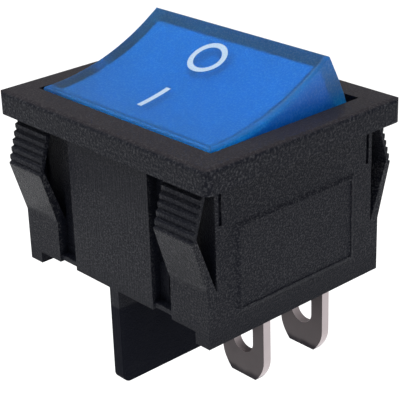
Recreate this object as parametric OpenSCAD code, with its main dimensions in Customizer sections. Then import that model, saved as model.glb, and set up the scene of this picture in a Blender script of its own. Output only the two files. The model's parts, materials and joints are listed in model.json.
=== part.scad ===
// Two-pole illuminated rocker switch that snaps into a panel.
// Millimetres. Z = 0 is the underside of the bezel, where the panel's face lies.
// +X runs along the rocking axis and +Y towards the side marked with a ring (off).
// The switch is drawn as it stands when on: the -Y side of the rocker is pressed in.

/* [Bezel] */
// Length of the bezel along the rocking axis
bezel_l = 24.8; // [22:0.1:32]
// Width of the bezel across the rocking axis
bezel_w = 20.6; // [18.6:0.1:28]
// Thickness of the bezel above the panel
bezel_t = 2.0; // [1.4:0.1:3]
// Radius of the bezel's four upright corners
bezel_corner_r = 0.7; // [0.3:0.1:1.5]
// Radius along the bezel's top edges
bezel_edge_r = 0.45; // [0.1:0.05:0.8]
// Width of the bezel's rim between its edge and the opening, at the ends
rim_end = 2.25; // [1.8:0.05:3.5]
// Width of the bezel's rim between its edge and the opening, at the sides
rim_side = 2.5; // [2:0.05:3.5]

/* [Housing] */
// Distance that the bezel stands out past each end wall
lip_end = 1.35; // [1:0.05:2.5]
// Distance that the bezel stands out past each side wall
lip_side = 1.0; // [0.6:0.05:2]
// Thickness of the two end walls low down
end_wall = 1.5; // [1.3:0.05:2.2]
// Thickness of the two side walls between the latches
side_wall = 0.85; // [0.6:0.05:1.2]
// Thickness of the walls set back behind the slots
slot_wall = 0.57; // [0.4:0.01:0.7]
// Thickness of the walls set back behind the latches, which bend in towards them
pocket_wall = 0.3; // [0.2:0.05:0.4]
// Depth of the side walls below the bezel
body_d = 11.95; // [11.5:0.05:16]
// Further depth of the end walls, which stand below the rest as feet
foot_h = 1.0; // [0.3:0.1:2]
// Thickness of the floor that carries the terminals
floor_t = 1.15; // [0.9:0.05:1.6]
// Height that the floor is set up from the bottom of the side walls
floor_up = 0.2; // [0:0.05:0.6]
// Depth of the wide upper part of the well for the rocker's ends
well_d = 3.6; // [3:0.1:4.5]
// Thickness of the fin that keeps the two poles apart
fin_t = 1.04; // [0.8:0.02:1.6]
// Height of the fin below the side walls
fin_h = 8.45; // [4:0.05:12]
// Radius of the fin's lower corners
fin_r = 0.8; // [0.2:0.1:2]
// Height of the partition between the poles above the floor
partition_h = 3.6; // [1:0.1:4.2]

/* [Latches] */
// Width of the side wall's middle part, between the two slots
centre_wall_l = 9.5; // [7:0.1:12]
// Width of the slot beside each latch
slot_l = 2.15; // [1.2:0.05:3]
// Height of each latch's solid root above the side wall's bottom edge
root_h = 3.55; // [2:0.05:5]
// Distance that a latch's nose stands out past the side wall
nose_out = 1.35; // [0.8:0.05:2]
// Depth of the nose below the bezel
nose_z = 3.95; // [3.85:0.05:5]
// Height of the nose's narrow upright edge
nose_h = 0.12; // [0.05:0.01:0.2]
// Gap between a latch's free end and the bezel
latch_gap = 0.3; // [0.2:0.05:0.4]
// Thickness of a latch from its nose to its free end
latch_t = 0.42; // [0.3:0.02:0.8]
// Gap between a latch and the edge of the end wall beside it
latch_clear = 0.05; // [0.03:0.01:0.2]
// Number of gripping steps above the nose
steps = 5; // [2:1:5]
// Height of each gripping step
step_h = 0.62; // [0.5:0.01:0.63]
// Distance that each step stands out past the one above
step_out = 0.19; // [0.1:0.01:0.2]
// Distance that the nose stands out past the lowest step
nose_lip = 0.11; // [0.05:0.01:0.2]
// Height of the slanting ledge on top of each step
step_ledge = 0.1; // [0.05:0.01:0.15]
// Depth of the hollow that undercuts each step's face above the ledge
step_hollow = 0.08; // [0.02:0.01:0.12]

/* [Label panel] */
// Width of the raised panel on each end wall
label_w = 12.8; // [8:0.1:14]
// Height of the raised panel
label_h = 7.45; // [4:0.05:8]
// Depth of the panel's top edge below the bezel
label_top = 3.6; // [1:0.1:4]
// Height that the panel stands out from the wall
label_out = 0.16; // [0.05:0.01:0.3]
// Width of the bevel round the panel
label_bevel = 0.32; // [0.1:0.01:0.5]
// Width of the panel's narrow flat rim inside the bevel
label_rim = 0.12; // [0.05:0.01:0.5]
// Depth of the recess inside that rim
label_recess = 0.07; // [0.03:0.01:0.1]
// Width of the four short grooves under the bezel on the end walls
groove_w = 0.3; // [0.2:0.05:0.5]
// Depth of those grooves into the wall
groove_d = 0.2; // [0.1:0.05:0.3]
// Length of those grooves
groove_l = 3.3; // [1:0.1:3.5]
// Distance from the wall's edge to each groove
groove_edge = 0.35; // [0.2:0.05:1]

/* [Rocker] */
// Tilt of the rocker to each side
tilt = 18.2; // [12:0.1:20]
// Depth of the rocking axis below the bezel's underside
pivot_z = 0.3; // [0.1:0.05:1]
// Gap between the rocker and the opening at the ends
end_gap = 0.3; // [0.2:0.05:0.6]
// Least gap between the rocker and the opening's sides, as the rocker turns
side_gap = 0.41; // [0.2:0.01:1]
// Height of the rocker's top edges above the rocking axis
cap_top = 4.73; // [4:0.01:5.2]
// Depth of the hollow that runs along the rocker's top
cap_dish = 1.0; // [0.4:0.05:1.4]
// Flare of the rocker's sides in degrees
cap_flare = 8.9; // [2:0.1:10]
// Depth of the rocker's sides below the rocking axis
cap_skirt = 0.9; // [0.4:0.05:1.2]
// Wall and ceiling thickness of the coloured cap
cap_t = 0.95; // [0.7:0.05:1.3]
// Radius of the cap's upright corners
cap_corner_r = 0.55; // [0.3:0.05:0.8]
// Radius along the cap's top edges
cap_edge_r = 0.3; // [0.1:0.05:0.4]
// Diameter of the trunnions
trunnion_d = 2.4; // [1.8:0.1:3]
// Length of each trunnion inside the end wall
trunnion_in = 0.5; // [0.3:0.05:0.6]
// Wall thickness of the milky frame inside the cap
frame_t = 0.7; // [0.5:0.05:0.9]

/* [Contacts] */
// Distance from the middle to each pole
pole_x = 5.28; // [5:0.02:6.2]
// Distance from the middle to the switched terminals
switched_y = 6.9; // [6:0.05:7.2]
// Width of the terminal tabs
tab_w = 4.8; // [4:0.1:6.3]
// Thickness of the terminal tabs
tab_t = 0.8; // [0.5:0.1:1]
// Length of the tabs below the side walls
tab_l = 9.35; // [6:0.05:12]
// Width of the hole in each tab
tab_hole_w = 2.3; // [1.2:0.1:2.6]
// Height of the hole in each tab
tab_hole_h = 3.4; // [1.4:0.1:4]
// Height of the rounded end of each tab
tab_nose = 2.1; // [0.6:0.1:3]
// Distance that each side of a tab draws in over that end
tab_draw = 1.0; // [0.3:0.1:1.8]
// Distance from the hole to the rounded end
tab_hole_up = 0.1; // [0:0.05:0.6]
// Swing of the contact blades to each side
blade_swing = 9; // [5:0.5:11]
// Thickness of the contact blades
blade_t = 0.4; // [0.3:0.05:0.5]
// Width of the contact blades
blade_w = 3.4; // [2.4:0.1:3.8]
// Radius of the round edge on which each blade rocks
fulcrum_r = 0.4; // [0.3:0.05:0.4]
// Height of that edge's centre above the floor's top
fulcrum_h = 3.25; // [2.4:0.05:3.6]
// Diameter of the contact rivets' heads
contact_d = 2.2; // [1.6:0.1:2.6]
// Thickness of the contact rivets' heads
contact_h = 0.4; // [0.3:0.05:0.6]
// Distance from the fulcrum to the contacts
contact_y = 5.7; // [5:0.05:6]
// Gap between a pair of closed contacts
contact_gap = 0.07; // [0.05:0.01:0.1]
// Length of the block that each blade comes down on when off
stop_l = 1.6; // [1:0.1:2.2]
// Length of blade left beyond its contact's head
blade_margin = 0.1; // [0.05:0.05:0.3]
// Width of the shelf under each fixed contact
shelf_w = 3.6; // [2.6:0.1:4.2]
// Length of shelf left beyond its contact's head
shelf_margin = 0.3; // [0.1:0.05:0.5]
// Width of the shoulders beside each tab, which rest on the floor
shoulder_w = 0.45; // [0.2:0.05:0.6]
// Height of those shoulders
shoulder_h = 0.8; // [0.5:0.1:1]

/* [Plungers] */
// Diameter of the plungers
plunger_d = 1.8; // [1.4:0.1:2]
// Outer diameter of the tubes that guide them
tube_d = 2.8; // [2.6:0.1:3.4]
// Depth of the tubes' mouths below the rocking axis
tube_depth = 4.3; // [3.4:0.1:4.6]
// Wire thickness of the plunger springs
spring_wire = 0.22; // [0.15:0.01:0.3]
// Turns of each plunger spring
spring_turns = 6; // [4:1:8]

/* [Lamp] */
// Diameter of the neon lamp's glass
lamp_d = 3.2; // [2.6:0.1:3.4]
// Length of the lamp's glass
lamp_l = 6.8; // [5:0.1:7]
// Diameter of the ballast resistor's body
resistor_d = 1.6; // [1.2:0.1:1.8]
// Length of the ballast resistor's body
resistor_l = 3.6; // [3:0.1:4.5]
// Distance from the middle to the resistor, which lies beside the lamp
resistor_y = 3.1; // [2.8:0.1:3.4]
// Diameter of the lead wires
lead_d = 0.4; // [0.3:0.05:0.5]

/* [Fits] */
// Running clearance on the radius of the pivots
run_fit = 0.05; // [0.02:0.01:0.08]
// Clearance round pieces that sit in a slot or a shell
seat_fit = 0.06; // [0.03:0.01:0.1]
// Gap between a plunger's tip and its blade, and between a blade and its stop
tip_gap = 0.05; // [0.03:0.01:0.1]
// Play at the end of each trunnion
end_play = 0.1; // [0.05:0.05:0.3]
// Play of a blade between its terminal's horns
blade_play = 0.15; // [0.05:0.05:0.3]

/* [Hidden] */
$fn = 48;
// Depth to which shapes of one piece run into each other
weld = 0.01;
// Length that a cut runs on past what it cuts
past = 1;
// Sides of the wide circle of the rocker's hollow, and of other wide arcs
dish_fn = 240;
arc_fn = 96;

// Outline of the body and of the opening
body_x = bezel_l / 2 - lip_end;
body_y = bezel_w / 2 - lip_side;
open_x = bezel_l / 2 - rim_end;
open_y = bezel_w / 2 - rim_side;
wall_y = body_y - side_wall;
inner_x = body_x - end_wall;
latch_x = centre_wall_l / 2 + slot_l;
end_y = wall_y - latch_clear;
slot_y = open_y + slot_wall;
pocket_y = open_y + pocket_wall;
root_top = -body_d + root_h;
floor_z = -body_d + floor_up;
floor_top = floor_z + floor_t;
nose_y = body_y + nose_out;
hollow_h = 0.35 * step_h;

// Rocker, drawn level about its own axis and then tilted
cap_x = open_x - end_gap;
cap_reach = sqrt(pow(open_y - side_gap, 2) - pow(cap_skirt, 2));
cap_w = 2 * (cap_reach - (cap_top + cap_skirt) * tan(cap_flare));
dish_r = (pow(cap_w / 2, 2) + pow(cap_dish, 2)) / (2 * cap_dish);
dish_z = cap_top - cap_dish + dish_r;
ear_r = trunnion_d / 2 + cap_t;

// Plunger and blade: the blade swings with the rocker in a fixed ratio, and its trough
// follows the plunger's round tip through the whole stroke
fulcrum_z = floor_top + fulcrum_h;
hub_r = fulcrum_r + run_fit + blade_t;
drop = -pivot_z - fulcrum_z;
tip_reach = drop - hub_r - tip_gap;
tip_centre = tip_reach - plunger_d / 2;
ratio = blade_swing / tilt;
rise = drop - tip_centre;
path_a = (tip_centre / 2 + tip_centre * ratio - rise * ratio * ratio / 2)
         / pow(tip_centre - rise * ratio, 2);
path_r = 1 / (2 * path_a);
trough_r = path_r + plunger_d / 2 + tip_gap;
trough_z = hub_r + trough_r;
trough_edge = 2 * tilt;
arm_y = trough_r * sin(trough_edge);
arm_z = trough_z - trough_r * cos(trough_edge);
blade_end = contact_y + contact_d / 2 + blade_margin;
stop_far = contact_y + stop_l / 2;
bore_d = plunger_d + 2 * seat_fit;
spring_top = 0.2;
spring_low = -2.5;
wire_gap = 0.02;
lead_z = spring_top + lead_d / 2 + wire_gap;
lamp_z = lead_z;

// Moves a child from the level rocker's own frame to where it stands when on
module in_rocker() {
    translate([0, 0, -pivot_z]) rotate([tilt, 0, 0]) children();
}

// Moves a child from a blade's own frame to where it stands when on
module in_blade(side) {
    translate([side * pole_x, 0, fulcrum_z]) rotate([-blade_swing, 0, 0]) children();
}

// Extrudes an outline drawn in Y and Z along X, from x0 to x1
module along_x(x0, x1) {
    translate([x0, 0, 0]) rotate([90, 0, 90]) linear_extrude(x1 - x0) children();
}

// Extrudes an outline drawn in X and Z along Y, from y0 to y1
module along_y(y0, y1) {
    translate([0, y1, 0]) rotate([90, 0, 0]) linear_extrude(y1 - y0) children();
}

module box(x0, x1, y0, y1, z0, z1) {
    translate([x0, y0, z0]) cube([x1 - x0, y1 - y0, z1 - z0]);
}

module rounded_rect(w, h, r) {
    square([w - 2 * r, h], center = true);
    square([w, h - 2 * r], center = true);
    for (x = [-1, 1], y = [-1, 1])
        translate([x * (w / 2 - r), y * (h / 2 - r)]) circle(r);
}

// Outline of a bar with both upper corners rounded
module crowned(w, h, r) {
    translate([-w / 2, 0]) square([w, h - r]);
    translate([-w / 2 + r, 0]) square([w - 2 * r, h]);
    for (x = [-1, 1]) translate([x * (w / 2 - r), h - r]) circle(r);
}

// ---- Housing: one moulding with bezel, walls, latches, floor, fin and partition ----

module bezel() {
    intersection() {
        linear_extrude(bezel_t) rounded_rect(bezel_l, bezel_w, bezel_corner_r);
        along_x(-bezel_l, bezel_l) crowned(bezel_w, bezel_t, bezel_edge_r);
        along_y(-bezel_w, bezel_w) crowned(bezel_l, bezel_t, bezel_edge_r);
    }
}

// Face of a latch's step k at +Y, counted up from the nose, and the top of its ledge
function step_y(k) = nose_y - nose_lip - k * step_out;
function step_z(k) = -nose_z + nose_h + step_ledge + k * step_h;

// One step from its ledge's foot up: the ledge slants in under the hollow of its face
function stair(k) = [
    [k > 0 ? step_y(k - 1) : nose_y, step_z(k) - step_ledge],
    [step_y(k) - step_hollow, step_z(k)],
    [step_y(k), step_z(k) + hollow_h]];

// Outline of a latch at +Y: root, wedge, nose, steps, free end and back
module latch_outline() {
    polygon(concat(
        [[wall_y, -body_d], [body_y, -body_d], [body_y, root_top], [nose_y, -nose_z]],
        [for (k = [0:steps]) each stair(k)],
        [[step_y(steps), -latch_gap], [step_y(steps) - latch_t, -latch_gap],
         [nose_y - latch_t, step_z(0) + step_ledge], [wall_y, root_top]]));
}

// The end wall is narrower above the latch roots, where the latches stand beside it
module end_wall_solid() {
    box(inner_x, body_x, -body_y, body_y, -body_d - foot_h, root_top);
    box(inner_x, body_x, -end_y, end_y, root_top - weld, weld);
}

// Centre part of the side wall at +Y, and the walls set back behind its slots and latches
module side_wall_solid() {
    box(-centre_wall_l / 2, centre_wall_l / 2, wall_y, body_y, -body_d, weld);
    for (side = [0, 1]) mirror([side, 0, 0]) {
        box(centre_wall_l / 2 - slot_wall, centre_wall_l / 2, open_y, wall_y + weld,
            floor_top - weld, weld);
        box(centre_wall_l / 2 - weld, latch_x, open_y, slot_y, floor_top - weld, weld);
        box(latch_x - weld, inner_x + weld, open_y, pocket_y, floor_top - weld, weld);
        box(latch_x - weld, inner_x + weld, open_y, wall_y + weld, floor_top - weld, root_top);
    }
}

// Outline through a raised panel that is size wide: sunk edge, bevel and flat top
module bevelled(size) {
    polygon([[-label_out, -size / 2], [0, -size / 2], [label_out, -size / 2 + label_bevel],
             [label_out, size / 2 - label_bevel], [0, size / 2], [-label_out, size / 2]]);
}

module label_panel() {
    rim = 2 * (label_bevel + label_rim);
    translate([body_x, 0, -label_top - label_h / 2]) difference() {
        intersection() {
            linear_extrude(label_h + past, center = true) bevelled(label_w);
            along_y(-label_w, label_w) bevelled(label_h);
        }
        translate([label_out - label_recess, -(label_w - rim) / 2, -(label_h - rim) / 2])
            cube([label_recess + past, label_w - rim, label_h - rim]);
    }
}

module end_grooves() {
    edge = end_y - groove_edge;
    for (y = [-edge, edge - groove_w])
        translate([body_x - groove_d, y, -groove_l]) cube([groove_d + past, groove_w, groove_l]);
}

module fin() {
    along_x(-fin_t / 2, fin_t / 2) {
        translate([-body_y, -body_d - fin_h + fin_r])
            square([2 * body_y, fin_h - fin_r + floor_up + weld]);
        translate([-body_y + fin_r, -body_d - fin_h]) square([2 * (body_y - fin_r), fin_h]);
        for (y = [-1, 1])
            translate([y * (body_y - fin_r), -body_d - fin_h + fin_r]) circle(fin_r);
    }
}

// Block under a blade's free side, where the blade lies when the switch is off, on a rib
module blade_stop(side) {
    stop_top = fulcrum_z + (arm_z - blade_t) / cos(blade_swing)
               - stop_far * tan(blade_swing) - tip_gap;
    rib_t = 1;
    rib_drop = 0.6;
    box(side * pole_x - blade_w / 2, side * pole_x + blade_w / 2,
        -stop_far, -stop_far + stop_l, floor_top - weld, stop_top);
    box(side * pole_x - rib_t / 2, side * pole_x + rib_t / 2,
        -wall_y - weld, -contact_y, floor_top - weld, stop_top - rib_drop);
}

module terminal_slots() {
    for (side = [-1, 1], y = [0, switched_y])
        box(side * pole_x - tab_w / 2 - seat_fit, side * pole_x + tab_w / 2 + seat_fit,
            y - tab_t / 2 - seat_fit, y + tab_t / 2 + seat_fit, floor_z - past, floor_top + past);
}

module housing() {
    // The floor's lower lip closes the foot of each slot, a little inside the walls' faces
    lip_in = 0.15;
    lip_y = body_y - lip_in;
    lip_t = 0.4;
    color("#1b1b1d") difference() {
        union() {
            difference() {
                bezel();
                box(-open_x, open_x, -open_y, open_y, -past, bezel_t + past);
            }
            for (side = [0, 1]) mirror([side, 0, 0]) {
                end_wall_solid();
                label_panel();
                for (far = [0, 1]) mirror([0, far, 0]) along_x(latch_x, body_x) latch_outline();
            }
            for (far = [0, 1]) mirror([0, far, 0]) side_wall_solid();
            // Floor
            box(-inner_x - weld, inner_x + weld, -wall_y - weld, wall_y + weld, floor_z, floor_top);
            box(-inner_x - weld, inner_x + weld, -lip_y, lip_y, floor_z, floor_z + lip_t);
            // Partition between the poles
            box(-fin_t / 2, fin_t / 2, -wall_y - weld, wall_y + weld,
                floor_top - weld, floor_top + partition_h);
            for (side = [-1, 1]) blade_stop(side);
            fin();
        }
        for (side = [0, 1]) mirror([side, 0, 0]) {
            end_grooves();
            // Wide upper well for the rocker's ends, and a blind socket for the trunnion
            box(0, open_x, -open_y, open_y, -well_d, past);
            along_x(open_x - end_gap, open_x + trunnion_in + end_play)
                translate([0, -pivot_z]) circle(trunnion_d / 2 + run_fit);
        }
        terminal_slots();
    }
}

// ---- Rocker: a clear coloured cap over a milky frame ----

// Outline of the level rocker across its axis, with its top edges rounded.
// The sides lie at a distance inset inside the cap's outer sides.
function side_y(z, inset) = cap_w / 2 + (cap_top - z) * tan(cap_flare) - inset / cos(cap_flare);

function mirrored(points) = [for (i = [len(points) - 1:-1:0]) [-points[i][0], points[i][1]]];

module cap_outline() {
    // The rounding touches the flared side and the hollow's edge, which leans by lean
    lean = asin(cap_w / 2 / dish_r);
    half = (90 - lean + cap_flare) / 2;
    turn = cap_flare - 90 - half;
    corner = [cap_w / 2, cap_top];
    round_at = corner + cap_edge_r / sin(half) * [cos(turn), sin(turn)];
    right = [[side_y(-cap_skirt, 0), -cap_skirt],
             [side_y(round_at[1], 0), round_at[1]],
             corner - [cap_edge_r / tan(half), 0]];
    polygon(concat(right, mirrored(right)));
    for (side = [0, 1]) mirror([side, 0]) translate(round_at) circle(cap_edge_r);
}

// Outline between the flared sides, inset from the cap's outside, from low up to its top
module flared(inset, low) {
    right = [[side_y(low, inset), low], [side_y(cap_top, inset), cap_top]];
    polygon(concat(right, mirrored(right)));
}

// Disc round the rocking axis with a web up to the cap's ceiling
module cap_ear(x0, x1, r) {
    along_x(x0, x1) {
        circle(r);
        translate([-r, 0]) square([2 * r, cap_top - cap_dish - cap_t]);
    }
}

module rocker_cap() {
    color("#1463d8", 0.75) in_rocker() difference() {
        union() {
            intersection() {
                along_x(-cap_x, cap_x) cap_outline();
                // Upright corners, rounded by a block a hair wider than the flared sides
                linear_extrude(3 * cap_top, center = true)
                    rounded_rect(2 * cap_x, 2 * side_y(-cap_skirt, -weld), cap_corner_r);
            }
            for (side = [0, 1]) mirror([side, 0, 0]) cap_ear(cap_x - cap_t, cap_x, ear_r);
        }
        // Dished top
        along_x(-cap_x - past, cap_x + past) translate([0, dish_z]) circle(dish_r, $fn = dish_fn);
        // Rounded edges where the dish meets the ends
        for (side = [0, 1]) mirror([side, 0, 0]) translate([0, 0, dish_z]) rotate([0, 90, 0])
            rotate_extrude($fn = dish_fn) difference() {
                translate([dish_r - past, cap_x - cap_edge_r]) square([past + cap_edge_r, past]);
                translate([dish_r + cap_edge_r, cap_x - cap_edge_r]) circle(cap_edge_r);
            }
        // Hollow inside, with a ceiling that follows the dish
        difference() {
            along_x(-cap_x + cap_t, cap_x - cap_t) flared(cap_t, -cap_skirt - past);
            along_x(-cap_x, cap_x) translate([0, dish_z]) circle(dish_r + cap_t, $fn = dish_fn);
        }
        // Holes for the frame's trunnions
        along_x(-cap_x - past, cap_x + past) circle(trunnion_d / 2 + seat_fit);
    }
}

// Two legs that hold the lamp up against the frame's ceiling, with a mouth below
module lamp_clip(x) {
    clip_l = 0.7;
    leg_t = 0.5;
    foot_z = lamp_z - 0.9;
    r = lamp_d / 2 + seat_fit / 2;
    mouth = 0.75 * r;
    along_x(x - clip_l / 2, x + clip_l / 2) difference() {
        translate([-r - leg_t, foot_z])
            square([2 * (r + leg_t), cap_top - cap_dish - cap_t - frame_t - foot_z]);
        translate([0, lamp_z]) circle(r);
        translate([-mouth, lamp_z - r]) square([2 * mouth, r]);
    }
}

// A shell's outline across the axis, inset from the cap's outside and open below, under a
// ceiling that follows the cap's hollow
module shell_outline(inset, low) {
    difference() {
        flared(inset, low);
        translate([0, dish_z]) circle(dish_r + inset, $fn = dish_fn);
    }
}

module rocker_frame() {
    outer = cap_t + seat_fit;
    inner = outer + frame_t;
    low = -0.4;
    tube_top = cap_top - cap_dish - outer - frame_t / 2;
    clip_x = lamp_l / 2 - 1.3;
    lead_way = lead_d / 2 + seat_fit;
    color("#e9edf2") in_rocker() difference() {
        union() {
            difference() {
                along_x(-cap_x + outer, cap_x - outer) shell_outline(outer, low);
                along_x(-cap_x + inner, cap_x - inner) shell_outline(inner, low - past);
            }
            for (side = [0, 1]) mirror([side, 0, 0]) {
                // Ear and trunnion
                cap_ear(cap_x - inner, cap_x - outer, trunnion_d / 2 + frame_t);
                along_x(cap_x - outer - weld, open_x + trunnion_in) circle(trunnion_d / 2);
                // Tube that guides the plunger
                translate([pole_x, 0, -tube_depth]) cylinder(d = tube_d, h = tube_depth + tube_top);
            }
            for (side = [-1, 1]) lamp_clip(side * clip_x);
        }
        for (side = [-1, 1]) translate([side * pole_x, 0, -tube_depth - past])
            cylinder(d = bore_d, h = tube_depth + past + lead_z + lead_d);
        // Ways for the leads into the two tubes
        box(-pole_x, -lamp_l / 2, -lead_way, lead_way, -tube_depth - past, lead_z + lead_way);
        box(pole_x - lead_way, pole_x + lead_way, 0, tube_d, -tube_depth - past, lead_z + lead_way);
    }
}

// ---- Lamp, resistor and their leads, inside the rocker ----

module rod(a, b, d) {
    v = b - a;
    l = norm(v);
    translate(a) rotate([0, acos(v[2] / l), atan2(v[1], v[0])]) cylinder(d = d, h = l, $fn = 24);
}

// A bent wire: straight rods with a ball at each bend
module wire(points) {
    for (i = [0:len(points) - 2]) rod(points[i], points[i + 1], lead_d);
    for (i = [1:1:len(points) - 2]) translate(points[i]) sphere(d = lead_d, $fn = 24);
}

module neon_lamp() {
    pinch_l = 0.8;
    pinch_t = 0.9;
    pinch_w = lamp_d - 0.4;
    color("#d98f4a", 0.8) in_rocker() translate([0, 0, lamp_z]) rotate([0, 90, 0]) {
        translate([0, 0, -lamp_l / 2 + pinch_l])
            cylinder(d = lamp_d, h = lamp_l - pinch_l - lamp_d / 2);
        translate([0, 0, lamp_l / 2 - lamp_d / 2]) sphere(d = lamp_d);
        // Flattened pinch that seals in the wires
        translate([-pinch_t / 2, -pinch_w / 2, -lamp_l / 2])
            cube([pinch_t, pinch_w, pinch_l + 10 * weld]);
    }
}

module lamp_lead_left() {
    color("#b9bcc0") in_rocker() wire([[-lamp_l / 2, 0, lamp_z], [-pole_x, 0, lead_z]]);
}

// The second wire also leaves the pinch, beside the first, and runs back to the resistor
module lamp_lead_right() {
    y1 = 0.9;
    turn_x = -lamp_l / 2 - 0.3;
    color("#b9bcc0") in_rocker()
        wire([[-lamp_l / 2, y1, lamp_z], [turn_x, y1, lamp_z],
              [turn_x, resistor_y, lamp_z], [-resistor_l / 2, resistor_y, lamp_z]]);
}

module ballast_resistor() {
    // A waisted body between two wider end caps
    waist = 0.86 * resistor_d;
    end_l = 1;
    color("#c9b48a") in_rocker() translate([0, resistor_y, lamp_z]) rotate([0, 90, 0]) {
        cylinder(d = waist, h = resistor_l - end_l, center = true);
        for (side = [-1, 1]) translate([0, 0, side * (resistor_l - end_l) / 2])
            cylinder(d = resistor_d, h = end_l, center = true);
    }
}

module resistor_lead() {
    color("#b9bcc0") in_rocker()
        wire([[resistor_l / 2, resistor_y, lamp_z], [pole_x, resistor_y, lead_z],
              [pole_x, 0, lead_z]]);
}

// ---- Plungers and their springs ----

module plunger(side) {
    color("#c8a24a") in_rocker() translate([side * pole_x, 0, 0]) {
        translate([0, 0, -tip_centre]) {
            cylinder(d = plunger_d, h = tip_centre + spring_low);
            sphere(d = plunger_d);
        }
    }
}

// Coil: a ring of points swept along a helix, flat over a small share of it at each end
flat_end = 0.08;
function coil_point(t, r, z0, z1, turns) = let (
        a = 360 * turns * t,
        climb = max(0, min(1, (t - flat_end) / (1 - 2 * flat_end))))
    [r * cos(a), r * sin(a), z0 + (z1 - z0) * climb];

module coil(r, wire_r, z0, z1, turns, sides = 6, per_turn = 14) {
    n = turns * per_turn;
    pts = [for (i = [0:n]) let (
                p = coil_point(i / n, r, z0, z1, turns),
                a = 360 * turns * i / n,
                out = [cos(a), sin(a), 0])
            for (k = [0:sides - 1]) let (b = 360 * (k + 0.5) / sides)
                p + wire_r * cos(b) * out + [0, 0, wire_r * sin(b)]];
    faces = concat(
        [for (i = [0:n - 1], k = [0:sides - 1]) let (
            a = i * sides + k, b = i * sides + (k + 1) % sides)
            each [[a, b, b + sides], [a, b + sides, a + sides]]],
        [[for (k = [sides - 1:-1:0]) k]],
        [[for (k = [0:sides - 1]) n * sides + k]]);
    polyhedron(pts, faces, convexity = 10);
}

module plunger_spring(side) {
    wire_r = spring_wire / 2;
    color("#9aa0a6") in_rocker() translate([side * pole_x, 0, 0])
        coil(plunger_d / 2 - wire_r - wire_gap, wire_r,
             spring_low + wire_r + weld, spring_top - wire_r, spring_turns);
}

// ---- Contact blades: bent strips that rock on the common terminals ----

module blade_outline() {
    // Each arm starts a little inside the trough's edge
    arm_root = arm_y - 0.35;
    difference() {
        union() {
            circle(hub_r);
            // Trough
            intersection() {
                difference() {
                    translate([0, trough_z]) circle(trough_r + blade_t, $fn = arc_fn);
                    translate([0, trough_z]) circle(trough_r, $fn = arc_fn);
                }
                translate([-arm_y, 0]) square([2 * arm_y, arm_z]);
            }
            // Arms
            for (y = [-blade_end, arm_root]) translate([y, arm_z - blade_t])
                square([blade_end - arm_root, blade_t]);
        }
        circle(fulcrum_r + run_fit);
        // The hub is open below, so that the blade lifts off its edge
        translate([-hub_r - past, -hub_r - past]) square([2 * (hub_r + past), hub_r + past]);
        translate([0, trough_z]) circle(trough_r, $fn = arc_fn);
    }
}

module contact_blade(side) {
    color("#c58b4f") in_blade(side) difference() {
        along_x(-blade_w / 2, blade_w / 2) blade_outline();
        translate([0, contact_y, arm_z - blade_t - past])
            cylinder(d = contact_d / 2, h = blade_t + 2 * past);
    }
}

// Rivet: a domed head, a shank through a plate of thickness t and a small closing head.
// The plate's face under the head is at z = 0 and the plate lies above it.
module rivet(t) {
    dome_r = 4 * contact_d;
    tail_d = 0.72 * contact_d;
    tail_h = 0.2;
    intersection() {
        translate([0, 0, -contact_h]) cylinder(d = contact_d, h = contact_h);
        translate([0, 0, dome_r - contact_h]) sphere(r = dome_r, $fn = arc_fn);
    }
    translate([0, 0, -weld]) cylinder(d = contact_d / 2, h = t + 2 * weld);
    translate([0, 0, t]) cylinder(d = tail_d, h = tail_h);
}

module moving_contact(side) {
    color("#d7d8da") in_blade(side) translate([0, contact_y, arm_z - blade_t]) rivet(blade_t);
}

// ---- Terminals ----

// Outline of a tab in X and Z below z_top, about its own middle, with a long hole. Its
// sides draw in over the end along a parabola.
module tab_outline(z_top) {
    z_end = -body_d - tab_l;
    curve_points = 6;
    right = [[tab_w / 2, z_top],
             for (i = [0:curve_points]) let (t = i / curve_points)
                 [tab_w / 2 - tab_draw * t * t, z_end + tab_nose * (1 - t)]];
    difference() {
        polygon(concat(right, mirrored(right)));
        translate([0, z_end + tab_nose + tab_hole_up + tab_hole_w / 2]) {
            circle(d = tab_hole_w);
            translate([-tab_hole_w / 2, 0]) square([tab_hole_w, tab_hole_h - tab_hole_w]);
            translate([0, tab_hole_h - tab_hole_w]) circle(d = tab_hole_w);
        }
    }
}

// Shoulders that rest on the floor
module shoulder_outline() {
    translate([-tab_w / 2 - shoulder_w, floor_top]) square([tab_w + 2 * shoulder_w, shoulder_h]);
}

module common_terminal(side) {
    horn = fulcrum_z + hub_r + blade_play;
    notch = blade_w / 2 + blade_play;
    color("#c4c6c9") translate([side * pole_x, 0, 0]) {
        difference() {
            along_y(-tab_t / 2, tab_t / 2) {
                tab_outline(floor_top + weld);
                shoulder_outline();
                translate([-tab_w / 2, floor_top]) square([tab_w, horn - floor_top]);
            }
            // Notch between two horns that keep the blade in place
            box(-notch, notch, -past, past, fulcrum_z, horn + past);
        }
        // Round edge that the blade rocks on
        along_x(-notch, notch) translate([0, fulcrum_z]) circle(fulcrum_r);
    }
}

// The fixed contact's face lies under the moving one, which has swung down and in a little
contact_arm = arm_z - blade_t - contact_h;
contact_face = fulcrum_z + contact_arm * cos(blade_swing) - contact_y * sin(blade_swing)
               - contact_gap;
contact_seat_y = contact_y * cos(blade_swing) + contact_arm * sin(blade_swing);
shelf_top = contact_face - contact_h;

// Outline of the upright and the shelf that it is bent into, in Y and Z
module shelf_outline() {
    reach = contact_y - contact_d / 2 - shelf_margin;
    inner = switched_y - tab_t / 2;
    outer = switched_y + tab_t / 2;
    difference() {
        polygon([[inner, floor_top], [inner, shelf_top - tab_t], [reach, shelf_top - tab_t],
                 [reach, shelf_top], [outer, shelf_top], [outer, floor_top]]);
        // Round outside of the bend
        difference() {
            translate([inner, shelf_top - tab_t]) square(tab_t + past);
            translate([inner, shelf_top - tab_t]) circle(tab_t);
        }
    }
}

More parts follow.
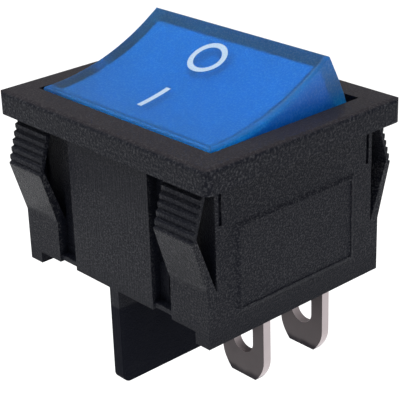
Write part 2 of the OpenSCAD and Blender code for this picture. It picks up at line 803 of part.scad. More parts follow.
module switched_terminal(side) {
    color("#c4c6c9") translate([side * pole_x, 0, 0]) difference() {
        union() {
            translate([0, switched_y, 0]) along_y(-tab_t / 2, tab_t / 2) {
                tab_outline(floor_top + weld);
                shoulder_outline();
            }
            along_x(-shelf_w / 2, shelf_w / 2) shelf_outline();
        }
        translate([0, contact_seat_y, shelf_top - tab_t - past])
            cylinder(d = contact_d / 2, h = tab_t + 2 * past);
    }
}

module fixed_contact(side) {
    color("#d7d8da") translate([side * pole_x, contact_seat_y, shelf_top])
        mirror([0, 0, 1]) rivet(tab_t);
}

housing();
rocker_cap();
rocker_frame();
neon_lamp();
lamp_lead_left();
lamp_lead_right();
ballast_resistor();
resistor_lead();
plunger(-1);  // plunger_left
plunger(1);  // plunger_right
plunger_spring(-1);  // plunger_spring_left
plunger_spring(1);  // plunger_spring_right
contact_blade(-1);  // contact_blade_left
contact_blade(1);  // contact_blade_right
moving_contact(-1);  // moving_contact_left
moving_contact(1);  // moving_contact_right
common_terminal(-1);  // common_terminal_left
common_terminal(1);  // common_terminal_right
switched_terminal(-1);  // switched_terminal_left
switched_terminal(1);  // switched_terminal_right
fixed_contact(-1);  // fixed_contact_left
fixed_contact(1);  // fixed_contact_right
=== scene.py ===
import json
import math

import bpy
import numpy as np
from mathutils import Matrix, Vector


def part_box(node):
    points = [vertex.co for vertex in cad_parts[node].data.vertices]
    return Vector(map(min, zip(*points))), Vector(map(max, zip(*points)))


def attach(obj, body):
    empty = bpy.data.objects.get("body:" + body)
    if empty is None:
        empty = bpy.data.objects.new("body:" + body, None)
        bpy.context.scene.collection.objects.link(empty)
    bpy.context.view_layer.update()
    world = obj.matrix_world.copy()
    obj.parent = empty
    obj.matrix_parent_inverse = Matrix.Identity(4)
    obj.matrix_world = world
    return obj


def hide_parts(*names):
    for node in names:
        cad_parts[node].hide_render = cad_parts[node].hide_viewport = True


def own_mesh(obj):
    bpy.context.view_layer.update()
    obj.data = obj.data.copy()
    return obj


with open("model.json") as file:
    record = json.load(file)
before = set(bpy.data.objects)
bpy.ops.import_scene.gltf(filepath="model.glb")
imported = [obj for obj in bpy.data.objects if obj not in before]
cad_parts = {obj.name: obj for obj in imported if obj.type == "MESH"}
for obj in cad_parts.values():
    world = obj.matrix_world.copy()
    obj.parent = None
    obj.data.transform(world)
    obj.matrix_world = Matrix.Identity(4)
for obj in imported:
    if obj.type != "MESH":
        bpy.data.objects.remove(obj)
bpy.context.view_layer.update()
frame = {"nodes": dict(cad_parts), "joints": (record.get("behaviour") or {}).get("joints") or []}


# ---- Housing ----
# One black nylon moulding with glass fibre: bezel, walls, latches, floor and fin. The mould was
# spark-eroded, coarse on the bezel's sides and finer on the walls, polished less on the bezel's top,
# and the middle part of each long wall shows the upright drag marks of a sliding core.

MM = 0.001

WALL_BLACK = (0.0010, 0.0018, 0.0060)
# The pale speck colours, for the walls and for the top, are painted glints on the grain.
WALL_GLINT_SPECK = (0.0420, 0.0430, 0.0490)
# The top's brown is painted lighter than the walls' black: painted light from above.
LIT_TOP_BROWN = (0.0140, 0.0120, 0.0155)
TOP_GLINT_SPECK = (0.0520, 0.0490, 0.0520)

# Sizes of the grains, along X, Y and Z where they differ, and the depth of the relief
COARSE_GRAIN = 0.21 * MM
FINE_GRAIN = 0.145 * MM
DRAG_MARK = (0.11 * MM, 0.11 * MM, 2.6 * MM)
MOTTLE = 2.2 * MM
NYLON_RELIEF = 0.055 * MM

# Where each part of the moulding fades in, from the first value to the second. The first pair is the
# upward part of the way the surface faces. Heights are from the bezel's underside, and the rest are
# distances from the middle. A wedge is the slope that a latch has below its steps.
TOP_FACES_UP = (0.55, 0.9)
TOP_HEIGHT = (1.2 * MM, 1.5 * MM)
SKIRT_HEIGHT = (-0.02 * MM, 0.02 * MM)
DRAGGED_HEIGHT = (0, -0.01 * MM)
DRAGGED_OUT = (9.13 * MM, 9.15 * MM)
DRAGGED_ALONG = (4.77 * MM, 4.75 * MM)
STEPS_LOW = (-3.9 * MM, -3.7 * MM)
STEPS_HIGH = (0, -0.1 * MM)
STEPS_OUT = (9.2 * MM, 9.3 * MM)
WEDGE_LOW = (-8.5 * MM, -8.2 * MM)
WEDGE_HIGH = (-3.8 * MM, -4.0 * MM)
WEDGE_OUT = (9.35 * MM, 9.5 * MM)
LONG_OUTSIDE = (8.9 * MM, 9.1 * MM)
END_OUTSIDE = (10.8 * MM, 11.0 * MM)
FOOT_HEIGHT = (-12.6 * MM, -10.4 * MM)
FIN_HEIGHT = (-13.4 * MM, -13.7 * MM)

# How many times the relief's depth each grain stands out
SKIRT_RELIEF = 2.8
WALL_RELIEF = 2.3
WEDGE_RELIEF = 3.8
DRAG_RELIEF = 1.3
TOP_RELIEF = 0.6

# The heights of grain between which pale specks, painted glints, begin, and their strength in each
# place.
# Fewer inside the walls are painted shade in the hollows, and more on the wedge are a painted
# reflection of the floor. Fewer on the fin are painted shade under the housing, and fewer at the foot
# leave the walls darker towards the bottom.
GLINT_SPECKS = (0.46, 0.70)
MOTTLED_GLINTS = (0.4, 1.3)
STEP_GLINTS = 0.65
SHADED_INSIDE_GLINTS = 0.15
WEDGE_REFLECTION_GLINTS = 1.5
FOOT_GLINTS = 0.25
SHADED_FIN_GLINTS = 0.4
TOP_GLINTS = 0.7

# Roughness of the walls, and what each place adds to it or takes off
WALL_ROUGH = 0.5
MOTTLE_ROUGH = 0.14
TOP_POLISH = 0.1
FIN_ROUGH = 0.35
WEDGE_POLISH = 0.2


class Signal:
    """A value on its way through a finish. Arithmetic on it adds Math nodes."""

    def __init__(self, finish, socket):
        self.finish, self.socket = finish, socket

    def __add__(self, other):
        return self.finish.math("ADD", self, other)

    def __sub__(self, other):
        return self.finish.math("SUBTRACT", self, other)

    def __rsub__(self, other):
        return self.finish.math("SUBTRACT", other, self)

    def __mul__(self, other):
        return self.finish.math("MULTIPLY", self, other)

    def __or__(self, other):
        """The larger of two masks: the one or the other."""
        return self.finish.math("MAXIMUM", self, other)

    __radd__, __rmul__ = __add__, __mul__

    def size(self):
        """Its distance from zero."""
        return self.finish.math("ABSOLUTE", self)

    def ramp(self, start, end):
        """A smooth step, 0 up to start and 1 from end on; start may be the larger of the two."""
        turned = start > end
        low, high = sorted((start, end))
        step = self.finish.node("ShaderNodeMapRange", {"interpolation_type": "SMOOTHSTEP"},
                                {"Value": self, "From Min": low, "From Max": high})
        return 1 - step if turned else step

    def spread(self, none, full):
        """Runs evenly from none, where the mask is 0, to full, where it is 1."""
        return self * (full - none) + none


class Finish:
    """A material built from one Principled shader. Keywords of the call set the shader's sockets."""

    def __init__(self, name, **constants):
        self.material = bpy.data.materials.new(name)
        self.material.use_nodes = True
        self.tree = self.material.node_tree
        self.tree.nodes.clear()
        self.surface = self.tree.nodes.new("ShaderNodeOutputMaterial").inputs["Surface"]
        self.shading = self.node("ShaderNodeBsdfPrincipled")
        self.put(self.surface, self.shading)
        for label, value in constants.items():
            self.feed(label.replace("_", " "), value)

    def feed(self, label, value):
        """Sets a socket of the shader, or links a signal to it."""
        self.put(self.shading.socket.node.inputs[label], value)

    def put(self, socket, value):
        """Sets any socket, or links a signal to it. A colour is given its fourth number here."""
        if isinstance(value, Signal):
            self.tree.links.new(value.socket, socket)
        elif isinstance(value, tuple) and len(value) == 3 and socket.type == "RGBA":
            socket.default_value = (*value, 1.0)
        else:
            socket.default_value = value

    def node(self, kind, settings=(), values=(), out=0):
        """Adds a node: its settings first, then the values or links of its sockets."""
        made = self.tree.nodes.new(kind)
        for label, value in dict(settings).items():
            setattr(made, label, value)
        for label, value in dict(values).items():
            self.put(made.inputs[label], value)
        return Signal(self, made.outputs[out])

    def math(self, operation, *values):
        """A Math node on signals or numbers."""
        return self.node("ShaderNodeMath", {"operation": operation}, dict(enumerate(values)))

    def place(self, output="Object"):
        """Where a point is in the piece, or with "Normal", which way its surface faces."""
        return self.node("ShaderNodeTexCoord", out=output)

    def axes(self, vector):
        """The three parts of a vector."""
        split = self.node("ShaderNodeSeparateXYZ", values={0: vector})
        return [Signal(self, socket) for socket in split.socket.node.outputs]

    def grain(self, place, size, detail=2.0, roughness=0.5):
        """Noise of 0 to 1 whose grains have the given size in metres: one number, or one for each
        axis. The place is divided by the size, so that one unit of the noise is one grain."""
        sizes = size if isinstance(size, tuple) else (size,) * 3
        counted = self.node("ShaderNodeVectorMath", {"operation": "MULTIPLY"},
                            {0: place, 1: tuple(1 / s for s in sizes)})
        return self.node("ShaderNodeTexNoise", values={"Vector": counted, "Scale": 1.0,
                                                       "Detail": detail, "Roughness": roughness})

    def blend(self, share, a, b):
        """Colour a where share is 0, b where it is 1."""
        mix = self.node("ShaderNodeMix", {"data_type": "RGBA"}, {0: share, 6: a, 7: b})
        return Signal(self, mix.socket.node.outputs[2])

    def relief(self, height, depth):
        """Lets a height of 0 to 1 stand out by depth metres in the shading."""
        self.feed("Normal", self.node("ShaderNodeBump", values={"Height": height, "Distance": depth}))


def dress(finish, *names):
    """Gives CAD nodes a finish."""
    for name in names:
        mesh = frame["nodes"][name].data
        mesh.materials.clear()
        mesh.materials.append(finish.material)


def nylon():
    """Each part of the moulding is a mask, the product of smooth steps in height, in distance from
    the middle and in the way it faces. The relief is the sum of each part's own grain times its
    mask. Pale specks, painted glints, lie where the grain is high, stronger or weaker by place, and
    blend the black, or the bezel's brown, to grey. The top's brown is painted lighter than the walls,
    painted light from above. The roughness is the walls' with what each part adds."""
    finish = Finish("black_nylon", IOR=1.45, Specular_IOR_Level=0.16)
    place = finish.place()
    x, y, z = finish.axes(place)
    along, out = x.size(), y.size()
    up = finish.axes(finish.place("Normal"))[2]

    top = up.ramp(*TOP_FACES_UP) * z.ramp(*TOP_HEIGHT)
    skirt = z.ramp(*SKIRT_HEIGHT) * (1 - top)
    dragged = out.ramp(*DRAGGED_OUT) * along.ramp(*DRAGGED_ALONG) * z.ramp(*DRAGGED_HEIGHT)
    dragged = dragged * (1 - skirt)
    steps = z.ramp(*STEPS_LOW) * z.ramp(*STEPS_HIGH) * out.ramp(*STEPS_OUT)
    wedge = z.ramp(*WEDGE_LOW) * z.ramp(*WEDGE_HIGH) * out.ramp(*WEDGE_OUT)
    outside = out.ramp(*LONG_OUTSIDE) | along.ramp(*END_OUTSIDE) | top
    fin = z.ramp(*FIN_HEIGHT)

    coarse = finish.grain(place, COARSE_GRAIN, detail=3.0, roughness=0.6)
    fine = finish.grain(place, FINE_GRAIN, roughness=0.6)
    drag = finish.grain(place, DRAG_MARK, detail=3.0, roughness=0.65)
    mottle = finish.grain(place, MOTTLE)

    walls = fine * (1 - dragged) * wedge.spread(WALL_RELIEF, WEDGE_RELIEF)
    walls = (walls + drag * dragged * DRAG_RELIEF) * (1 - skirt) * (1 - top)
    finish.relief(coarse * skirt * SKIRT_RELIEF + walls + fine * top * TOP_RELIEF, NYLON_RELIEF)

    specks = (fine * (1 - skirt) + coarse * skirt).ramp(*GLINT_SPECKS) * mottle.spread(*MOTTLED_GLINTS)
    # Inside the walls most specks are left out: painted shade in the hollows.
    specks = specks * steps.spread(1, STEP_GLINTS) * outside.spread(SHADED_INSIDE_GLINTS, 1)
    # More specks on the wedge are a painted reflection of the floor; fewer at the foot leave the walls
    # darker towards the bottom.
    specks = specks * wedge.spread(1, WEDGE_REFLECTION_GLINTS) * z.ramp(*FOOT_HEIGHT).spread(FOOT_GLINTS, 1)
    # Fewer specks on the fin are painted shade under the housing.
    specks = specks * fin.spread(1, SHADED_FIN_GLINTS)
    # The pale specks blended in here are painted glints.
    wall_black_and_glints = finish.blend(specks, WALL_BLACK, WALL_GLINT_SPECK)
    # The top is painted a lighter brown, painted light from above.
    lit_top_colour = finish.blend(specks * TOP_GLINTS, LIT_TOP_BROWN, TOP_GLINT_SPECK)
    finish.feed("Base Color", finish.blend(top, wall_black_and_glints, lit_top_colour))
    finish.feed("Roughness", WALL_ROUGH + mottle * MOTTLE_ROUGH - top * TOP_POLISH
                + fin * FIN_ROUGH - wedge * WEDGE_POLISH)
    return finish


dress(nylon(), "housing")


# ---- Rocker cap ----
# A clear blue polycarbonate moulding, pressed over the milky frame. Its faces are finely frosted, so
# the frame behind glows through and the solid rim, with nothing behind it, stays dark.

CAP_BLUE = (0.006, 0.36, 0.84)
CAP_PALE = (0.050, 0.60, 1.00)
CAP_GLOW = (0.006, 0.25, 0.86)
FROST_GRAIN = 0.15 * MM
FROST_RELIEF = 0.016 * MM
FROST_SPECKS = (0.44, 0.72)

# Where each part of the cap fades in, by the way it faces on the level rocker or by the distance
# from the level rocker's axis, along Y for the strip and along Z for the height
SIDE_FACES_UP = (0.4, 0.2)
EDGE_FACES_UP = (0.96, 0.9)
EDGE_FACES_X = (0.05, 0.3)
EDGE_FACES_Y = (-0.35, -0.5)
STRIP_FACES_UP = (0.8, 0.95)
STRIP_ALONG = (-5.7 * MM, -5.95 * MM)
LIT_HIGH_ON_SIDE = (1.8 * MM, 3.9 * MM)

# Roughness of the clear plastic, and what the frost and the front and right edges of the painted
# highlight add
CAP_ROUGH, FROST_ROUGH, EDGE_ROUGH = 0.33, 0.1, 0.35
# Share of the light that is scattered all over, and what the sides, edges and front strip add. The
# frosted sides do scatter, and more of it high up paints them lighter at the top and darker by the
# bezel, painted shade. On the edges it is a painted highlight, and on the strip painted light.
CAP_HAZE, LIT_SIDE_HAZE, EDGE_HIGHLIGHT_HAZE, LIT_STRIP_HAZE = 0.045, 0.12, 0.09, 0.14
HAZE_ROUGH = 0.6
EDGE_HIGHLIGHT = 0.35
GLOW_SHARE = 0.9

tilt_joint = next(j for j in frame["joints"] if j["name"] == "rocker_tilt")
AXIS = np.array(tilt_joint["pos_m"])
TILT = math.radians(tilt_joint["range_deg"][1] / 2)


def levelled(y, z):
    """The Y and Z parts of a vector, turned back by the tilt to what they are on the level rocker."""
    c, s = math.cos(TILT), math.sin(TILT)
    return y * c + z * s, z * c - y * s


def clear_blue():
    """Frosted clear plastic, mixed with a little dull plastic that scatters the light. The share of the
    dull one is the same all over, plus more high on the side walls, painting them lighter at the top
    and darker by the bezel as painted shade, more on the front and right edges, which with their paler
    colour are a painted highlight, and more on a strip along the front, painted light where the rim
    looks dark.
    Each of these is a mask made of smooth steps."""
    finish = Finish("clear_blue", IOR=1.45, Specular_IOR_Level=0.12, Transmission_Weight=1.0)
    place = finish.place()
    frost = finish.grain(place, FROST_GRAIN, roughness=0.6)
    facing_x, *facing = finish.axes(finish.place("Normal"))
    facing_y, facing_up = levelled(*facing)
    y, z = finish.axes(place)[1:]
    along, height = levelled(y, z - AXIS[2])

    side = facing_up.size().ramp(*SIDE_FACES_UP)
    # Faces turned to the front and right: their edges get a paler colour and more haze, a painted
    # highlight.
    highlit_faces = facing_x.ramp(*EDGE_FACES_X) | facing_y.ramp(*EDGE_FACES_Y)
    sheen_edge = facing_up.ramp(*EDGE_FACES_UP) * (1 - side) * highlit_faces
    # The strip along the front gets more haze: painted light where the rim shows dark.
    lit_strip = along.ramp(*STRIP_ALONG) * facing_up.ramp(*STRIP_FACES_UP)
    # Haze only high on the side walls: painted light at the top, painted shade by the bezel.
    high = height.ramp(*LIT_HIGH_ON_SIDE)

    colour = finish.blend(frost.ramp(*FROST_SPECKS) | sheen_edge * EDGE_HIGHLIGHT, CAP_BLUE, CAP_PALE)
    glow = finish.blend((side | sheen_edge | lit_strip) * GLOW_SHARE, colour, CAP_GLOW)
    finish.relief(frost, FROST_RELIEF)
    finish.feed("Base Color", colour)
    finish.feed("Roughness", CAP_ROUGH + frost * FROST_ROUGH + sheen_edge * EDGE_ROUGH)
    dull = finish.node("ShaderNodeBsdfPrincipled", values={"Base Color": glow, "Roughness": HAZE_ROUGH,
                                                           "Specular IOR Level": 0.1})
    haze = CAP_HAZE + side * high * LIT_SIDE_HAZE + sheen_edge * EDGE_HIGHLIGHT_HAZE + lit_strip * LIT_STRIP_HAZE
    hazy = finish.node("ShaderNodeMixShader", values={0: haze, 1: finish.shading, 2: dull})
    finish.put(finish.surface, hazy)
    return finish


dress(clear_blue(), "rocker_cap")


# ---- Marks on the rocker ----
# A ring for off and a bar for on, pad-printed in pale ink on the dished face. Each is a thin film of
# ink that follows the face.

INK = 0.02 * MM
INK_DEEP = (0.31, 0.42, 0.54)
INK_PALE = (0.40, 0.52, 0.67)
INK_GRAIN = 0.1 * MM
INK_SPECKS = (0.35, 0.7)
INK_RELIEF = 0.004 * MM

# The dish's radius, and the height of its lowest line above the rocker's axis
DISH_R = 21.32 * MM
DISH_LOW = 3.73 * MM

# Centre of each mark in X and Y on the level rocker, and the number of points of its grid each way.
# The ring is a little flatter along Y than along X.
RING_AT = (-0.28 * MM, 3.03 * MM)
RING_R = (1.25 * MM, 1.75 * MM)
RING_FLAT = 0.95
RING_GRID = (96, 6)
BAR_AT = (-0.45 * MM, -2.8 * MM)
BAR_SIZE = (0.5 * MM, 3.1 * MM)
BAR_GRID = (32, 5)


def tilted(level):
    """Points of the level rocker, turned about its axis to where it stands at rest."""
    c, s = math.cos(TILT), math.sin(TILT)
    turn = np.array([[1, 0, 0], [0, c, -s], [0, s, c]])
    return level @ turn.T + AXIS


def on_dish(x, y, lift):
    """Points of the rocker's face at x and y, lifted along the face's normal. The level face is the
    low side of a cylinder that lies along X."""
    angle = np.arcsin(y / DISH_R)
    reach = DISH_R - lift
    height = DISH_LOW + DISH_R - reach * np.cos(angle)
    return tilted(np.stack([x, reach * np.sin(angle), height], -1))


def new_piece(name, points, faces, finish):
    """A piece that has its place in its mesh and one finish."""
    mesh = bpy.data.meshes.new(name)
    mesh.from_pydata(points, [], faces)
    mesh.materials.append(finish.material)
    piece = bpy.data.objects.new(name, mesh)
    bpy.context.scene.collection.objects.link(piece)
    return piece


def quads(index):
    """Faces over a grid of point numbers, each from two neighbours in a row to two in the next."""
    corners = (index[:-1, :-1], index[1:, :-1], index[1:, 1:], index[:-1, 1:])
    return np.stack(corners, -1).reshape(-1, 4)


def film(name, x, y, finish, closed):
    """A closed film of ink over a grid of x and y: a top face, a bottom face and a wall between.
    closed says that the grid's first direction runs round and meets itself."""
    top, low = on_dish(x, y, INK), on_dish(x, y, -INK / 2)
    points = np.concatenate([top.reshape(-1, 3), low.reshape(-1, 3)])
    index = np.arange(x.size).reshape(x.shape)
    if closed:
        index = np.vstack([index, index[:1]])
    sheet = quads(index)
    rim = [index[:, 0], index[::-1, -1]]
    if not closed:
        rim += [index[-1, :], index[0, ::-1]]
    walls = [np.stack([line[1:], line[:-1], line[:-1] + x.size, line[1:] + x.size], -1) for line in rim]
    faces = np.concatenate([sheet, sheet[:, ::-1] + x.size, *walls])
    piece = new_piece(name, points.tolist(), faces.tolist(), finish)
    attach(piece, "rocker")


def ink():
    """Ink that is paler and stands a little higher where a fine noise is high."""
    finish = Finish("pale_ink", Roughness=0.45)
    specks = finish.grain(finish.place(), INK_GRAIN)
    finish.feed("Base Color", finish.blend(specks.ramp(*INK_SPECKS), INK_DEEP, INK_PALE))
    finish.relief(specks, INK_RELIEF)
    return finish


pale_ink = ink()
turn, reach = np.meshgrid(np.linspace(0, 2 * np.pi, RING_GRID[0], endpoint=False),
                          np.linspace(*RING_R, RING_GRID[1]), indexing="ij")
film("off_mark_ring", RING_AT[0] + reach * np.sin(turn), RING_AT[1] + RING_FLAT * reach * np.cos(turn),
     pale_ink, closed=True)
long, wide = np.meshgrid(np.linspace(-0.5, 0.5, BAR_GRID[0]), np.linspace(-0.5, 0.5, BAR_GRID[1]),
                         indexing="ij")
film("on_mark_bar", BAR_AT[0] + wide * BAR_SIZE[0], BAR_AT[1] + long * BAR_SIZE[1],
     pale_ink, closed=False)


# ---- Rocker frame ----
# A milky nylon moulding inside the cap. It spreads the lamp's light, carries the trunnions and guides
# the two plungers.

MILK_DEEP = (0.86, 0.89, 0.93)
MILK_PALE = (0.93, 0.95, 0.97)
MILK_CLOUD = 1.1 * MM
MILK_RELIEF = 0.01 * MM


def milky():
    """White nylon whose colour and relief follow faint clouds of noise."""
    finish = Finish("milky_nylon", Roughness=0.45)
    cloud = finish.grain(finish.place(), MILK_CLOUD, detail=3.0)
    finish.feed("Base Color", finish.blend(cloud, MILK_DEEP, MILK_PALE))
    finish.relief(cloud, MILK_RELIEF)
    return finish


dress(milky(), "rocker_frame")


# ---- Lamp, resistor and leads ----
# A neon lamp of clear glass lies across the frame, in series with a lacquered film resistor. Tinned
# copper leads join them to the plungers' springs.

GLASS_DEEP = (0.95, 0.80, 0.66)
GLASS_PALE = (0.98, 0.90, 0.82)
GLASS_STREAK = (2 * MM, 0.5 * MM, 0.5 * MM)
LACQUER_DEEP = (0.52, 0.40, 0.22)
LACQUER_PALE = (0.62, 0.50, 0.30)
LACQUER_CLOUD = 0.4 * MM
LACQUER_RELIEF = 0.01 * MM
LEAD_TIN = ((0.60, 0.60, 0.61), (0.74, 0.74, 0.75))
LEAD_GRAIN = 0.3 * MM
METAL_CLOUD = 1.4 * MM
CLOUD_ROUGH = 0.2
LINE_RELIEF = 0.003 * MM


def lamp_glass():
    """Glass that noise streaks along the lamp, between two warm tints of what lies inside."""
    finish = Finish("lamp_glass", IOR=1.5, Roughness=0.04, Transmission_Weight=0.6)
    streak = finish.grain(finish.place(), GLASS_STREAK)
    finish.feed("Base Color", finish.blend(streak, GLASS_DEEP, GLASS_PALE))
    return finish


def lacquer():
    """A brown coat whose colour and relief follow clouds of noise."""
    finish = Finish("resistor_lacquer", Roughness=0.35)
    cloud = finish.grain(finish.place(), LACQUER_CLOUD)
    finish.feed("Base Color", finish.blend(cloud, LACQUER_DEEP, LACQUER_PALE))
    finish.relief(cloud, LACQUER_RELIEF)
    return finish


def drawn_metal(name, dark, light, rough, line, depth=LINE_RELIEF):
    """Metal with drawing or rolling lines, whose size along each axis is given, and with clouds. The
    mean of lines and clouds blends dark to light, and the clouds alone change the roughness."""
    finish = Finish(name, Metallic=1.0)
    place = finish.place()
    lines = finish.grain(place, line, detail=3.0, roughness=0.6)
    cloud = finish.grain(place, METAL_CLOUD)
    finish.feed("Base Color", finish.blend(lines * 0.5 + cloud * 0.5, dark, light))
    finish.feed("Roughness", rough + (cloud - 0.5) * CLOUD_ROUGH)
    finish.relief(lines, depth)
    return finish


dress(lamp_glass(), "neon_lamp")
dress(lacquer(), "ballast_resistor")
dress(drawn_metal("tinned_wire", *LEAD_TIN, rough=0.3, line=LEAD_GRAIN),
      "lamp_lead_left", "lamp_lead_right", "resistor_lead")


# ---- Plungers and springs ----
# Turned brass pins with round tips, each pushed out of its tube in the frame by a coil spring of
# hard-drawn wire with flat ends.

BRASS = ((0.62, 0.43, 0.17), (0.80, 0.60, 0.28))
TURNED_RINGS = (0.3 * MM, 0.3 * MM, 0.05 * MM)
RING_RELIEF = 0.004 * MM
SPRING_STEEL = ((0.42, 0.43, 0.45), (0.60, 0.61, 0.63))
SPRING_GRAIN = 0.2 * MM

# Sizes on the level rocker, with heights from its axis. FLAT_END is a share of the wire's length.
POLE_X = 5.28 * MM
SPRING_R = 0.77 * MM
SPRING_LOW = -2.38 * MM
SPRING_TOP = 0.09 * MM
SPRING_TURNS = 6
FLAT_END = 0.08
WIRE_R = 0.11 * MM
ROWS_PER_TURN = 24
POINTS_PER_ROW = 10

dress(drawn_metal("turned_brass", *BRASS, rough=0.25, line=TURNED_RINGS, depth=RING_RELIEF),
      "plunger_left", "plunger_right")


def coiled_wire(pole):
    """A round wire carried along a helix about the tube's axis, at x = pole. The height climbs evenly
    with the angle, but for a flat part at each end. Rows run along the wire, columns round it."""
    t = np.linspace(0, 1, ROWS_PER_TURN * SPRING_TURNS + 1)[:, None]
    round_wire = np.linspace(0, 2 * np.pi, POINTS_PER_ROW, endpoint=False)[None, :]
    angle = 2 * np.pi * SPRING_TURNS * t
    climb = np.clip((t - FLAT_END) / (1 - 2 * FLAT_END), 0, 1)
    reach = SPRING_R + WIRE_R * np.cos(round_wire)
    height = SPRING_LOW + (SPRING_TOP - SPRING_LOW) * climb + WIRE_R * np.sin(round_wire)
    return np.stack([pole + reach * np.cos(angle), reach * np.sin(angle), height], -1)


spring_wire = drawn_metal("spring_wire", *SPRING_STEEL, rough=0.3, line=SPRING_GRAIN)
for side, pole in (("left", -POLE_X), ("right", POLE_X)):
    wire = tilted(coiled_wire(pole))
    index = np.arange(wire.shape[0] * wire.shape[1]).reshape(wire.shape[:2])
    skin = quads(np.hstack([index, index[:, :1]]))
    ends = [index[0].tolist(), index[-1, ::-1].tolist()]
    spring = new_piece(f"coiled_spring_{side}", wire.reshape(-1, 3).tolist(),
                       [*skin.tolist(), *ends], spring_wire)
    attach(spring, "rocker")
    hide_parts(f"plunger_spring_{side}")
    slide = next(j for j in frame["joints"] if j["name"] == f"plunger_{side}_slide")
    length = SPRING_TOP - SPRING_LOW + 2 * WIRE_R
    fixed_end = tilted(np.array([pole, 0, SPRING_TOP + WIRE_R]))
    1 - slide["range_m"][1] / length
    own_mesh(spring)


# ---- Contact blades and rivets ----
# Pressed copper-alloy strips that rock on the middle terminals, and silver-alloy rivets on the blades
# and on the shelves under them.

COPPER = ((0.60, 0.30, 0.15), (0.80, 0.46, 0.26))
STRIP_LINES = (0.06 * MM, 1.2 * MM, 0.06 * MM)
SILVER = ((0.66, 0.65, 0.62), (0.86, 0.86, 0.85))
RIVET_GRAIN = 0.2 * MM

dress(drawn_metal("rolled_copper", *COPPER, rough=0.32, line=STRIP_LINES),
      "contact_blade_left", "contact_blade_right")
dress(drawn_metal("contact_silver", *SILVER, rough=0.28, line=RIVET_GRAIN),
      "moving_contact_left", "moving_contact_right", "fixed_contact_left", "fixed_contact_right")


# ---- Terminals ----
# Tabs pressed from brass strip and plated with tin. The broad faces keep the strip's rolled grain
# upright;
# their colour is painted dark, a painted reflection of the black fin and housing, and grows darker
# toward the tip. The sheared edges are painted brighter, a painted reflection of the floor, and a
# little pink.

PLATE_DARK_REFLECTION = (0.058, 0.050, 0.052)
PLATE_TOWARD_TIP = (0.010, 0.0080, 0.011)
SHEARED_BRIGHT_REFLECTION = (0.48, 0.42, 0.43)
SHEARED_TOWARD_TIP = (0.13, 0.11, 0.125)
ROLLED = (0.05 * MM, 0.05 * MM, 1.6 * MM)
ROLLED_RELIEF = 0.004 * MM
TIN_CLOUD = 1.3 * MM

# How far the clouds and lines change the darkening toward the tip, between which values of it the faces
# and the edges darken, and how metallic and rough the edges and then the broad faces are
BROAD_FACES_Y = (0.45, 0.8)
CLOUD_DARKENS = 0.9
LINES_DARKEN = 0.5
FACE_DARKENS = (0.1, 0.9)
EDGE_DARKENS = (0.3, 1.0)
TIN_METAL = (0.45, 0.95)
TIN_ROUGH = (0.5, 0.38)


def tin_plate(tip, fin_end):
    """Darkening grows from 0 at the height of the fin's end to 1 at that of the tabs' tips, with
    clouds and lines of noise added. It blends the colours of the broad faces, a dark painted
    reflection, and of the edges, a bright painted reflection, which a mask by the way they face keeps
    apart. That mask also sets how metallic and rough they are."""
    finish = Finish("tin_plate")
    place = finish.place()
    height = finish.axes(place)[2]
    broad = finish.axes(finish.place("Normal"))[1].size().ramp(*BROAD_FACES_Y)
    lines = finish.grain(place, ROLLED, detail=3.0, roughness=0.6)
    cloud = finish.grain(place, TIN_CLOUD, detail=3.0)
    darkening = height.ramp(fin_end, tip) + (cloud - 0.5) * CLOUD_DARKENS + (lines - 0.5) * LINES_DARKEN
    # The broad faces are painted dark and the sheared edges bright: painted reflections of the black
    # fin and of the floor.
    dark_reflection_face = finish.blend(darkening.ramp(*FACE_DARKENS), PLATE_DARK_REFLECTION, PLATE_TOWARD_TIP)
    sheen_edge = finish.blend(darkening.ramp(*EDGE_DARKENS), SHEARED_BRIGHT_REFLECTION, SHEARED_TOWARD_TIP)
    finish.feed("Base Color", finish.blend(broad, sheen_edge, dark_reflection_face))
    finish.feed("Metallic", broad.spread(*TIN_METAL))
    finish.feed("Roughness", broad.spread(*TIN_ROUGH) + (cloud - 0.5) * CLOUD_ROUGH)
    finish.relief(lines, ROLLED_RELIEF)
    return finish


tab_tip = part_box("switched_terminal_right")[0][2]
fin_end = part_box("housing")[0][2]
dress(tin_plate(tab_tip, fin_end), "common_terminal_left", "common_terminal_right",
      "switched_terminal_left", "switched_terminal_right")


# ---- Floor ----
# A plain pale sheet well below the tabs, so that the switch hangs clear of it. It isn't part of the
# switch.

PAPER = (0.93, 0.93, 0.93)
FLOOR_HEIGHT = -0.15
FLOOR_REACH = 2.5

corners = [(x * FLOOR_REACH, y * FLOOR_REACH, FLOOR_HEIGHT)
           for x, y in ((-1, -1), (1, -1), (1, 1), (-1, 1))]
paper = Finish("floor_paper", Base_Color=PAPER, Roughness=0.9, Specular_IOR_Level=0.1)
new_piece("floor", corners, [(0, 1, 2, 3)], paper)


# ---- Light ----
# A dim pale room, one broad soft light from above that makes the floor white, and two weaker soft
# boxes, one high at the front left and one low on the right.

CEILING_AT = (0.06, -0.03, 0.6)
CEILING_POWER = 2.4
CEILING_SPREAD = 40
# Name, place, side and power of each soft box
SOFT_BOXES = (("front_light", (-0.30, -0.35, 0.40), 0.3, 1.6),
              ("fill_light", (0.32, -0.08, 0.14), 0.2, 0.4))
ROOM_WHITE = (1.0, 1.0, 1.0, 1.0)
ROOM_STRENGTH = 0.35


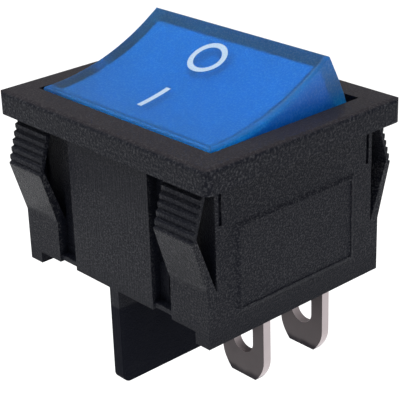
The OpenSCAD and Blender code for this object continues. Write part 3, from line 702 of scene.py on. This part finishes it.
def hang(lamp, place):
    """Puts a lamp at a place and turns it to face the middle of the switch: first up from straight
    down, by the angle between down and the way to the middle, and then about Z."""
    light = bpy.data.objects.new(lamp.name, lamp)
    x, y, z = (-p for p in place)
    light.rotation_euler = (math.atan2(math.hypot(x, y), -z), 0, math.atan2(-x, y))
    light.location = place
    bpy.context.scene.collection.objects.link(light)


ceiling = bpy.data.lights.new("ceiling_light", "SUN")
ceiling.energy, ceiling.angle = CEILING_POWER, math.radians(CEILING_SPREAD)
hang(ceiling, CEILING_AT)
for name, place, side, power in SOFT_BOXES:
    soft_box = bpy.data.lights.new(name, "AREA")
    soft_box.shape, soft_box.size, soft_box.energy = "SQUARE", side, power
    hang(soft_box, place)
room = bpy.data.worlds.new("room")
bpy.context.scene.world = room
room.use_nodes = True
background = room.node_tree.nodes["Background"].inputs
background["Color"].default_value = ROOM_WHITE
background["Strength"].default_value = ROOM_STRENGTH
bpy.context.scene.view_settings.view_transform = "Standard"


# ---- Camera ----
# Looks down on the front corner from the right, with a long lens. CAMERA_TURN is its azimuth and
# its elevation in degrees.

CAMERA_AT = (0.075736, -0.067392, 0.038080)
CAMERA_TURN = (48.295, 24.095)
CAMERA_ROLL = -1.902
LENS = 122.6
SENSOR = 36.0
NEAR, FAR = 0.005, 10.0


def set_camera():
    """The camera's back points by the azimuth and elevation, its right lies level, and its top is
    square to both. Right and top are then turned about the back by the roll."""
    azimuth, elevation, roll = map(math.radians, (*CAMERA_TURN, CAMERA_ROLL))
    back = np.array([math.sin(azimuth) * math.cos(elevation),
                     -math.cos(azimuth) * math.cos(elevation), math.sin(elevation)])
    right = np.array([math.cos(azimuth), math.sin(azimuth), 0.0])
    top = np.cross(back, right)
    matrix = np.eye(4)
    matrix[:3, 0] = math.cos(roll) * right + math.sin(roll) * top
    matrix[:3, 1] = -math.sin(roll) * right + math.cos(roll) * top
    matrix[:3, 2] = back
    matrix[:3, 3] = CAMERA_AT
    lens = bpy.data.cameras.new("camera")
    lens.lens, lens.sensor_width, lens.clip_start, lens.clip_end = LENS, SENSOR, NEAR, FAR
    camera = bpy.data.objects.new("camera", lens)
    camera.matrix_world = Matrix(matrix.tolist())
    bpy.context.scene.collection.objects.link(camera)
    bpy.context.scene.camera = camera


set_camera()
